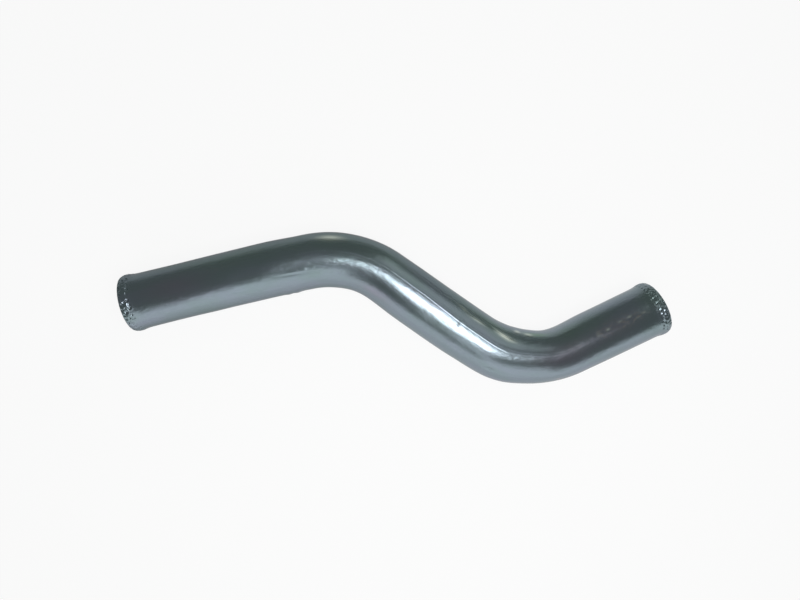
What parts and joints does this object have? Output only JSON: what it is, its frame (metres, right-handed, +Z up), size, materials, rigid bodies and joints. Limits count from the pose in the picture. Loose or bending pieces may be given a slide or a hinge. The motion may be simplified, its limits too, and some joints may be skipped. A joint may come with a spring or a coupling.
{
  "type": "coolant reservoir pipe",
  "caption": "Rigid thin-walled steel pipe with two opposite bends in one plane and a low rolled hose bead at each open end, zinc plated.",
  "frame": {"origin": "on the floor, under the middle of the pipe's box", "axes": "+X along the longest side, from the reservoir mouth to the outlet mouth; +Z up, square to the level plane of the bends"},
  "size_m": [0.2798, 0.0784, 0.0292],
  "materials": {
    "zinc_plated_steel": "bright zinc plate with a clear blue passivate, half gloss"
  },
  "bodies": {
    "root": {"coolant_pipe": "zinc_plated_steel"}
  },
  "joints": []
}
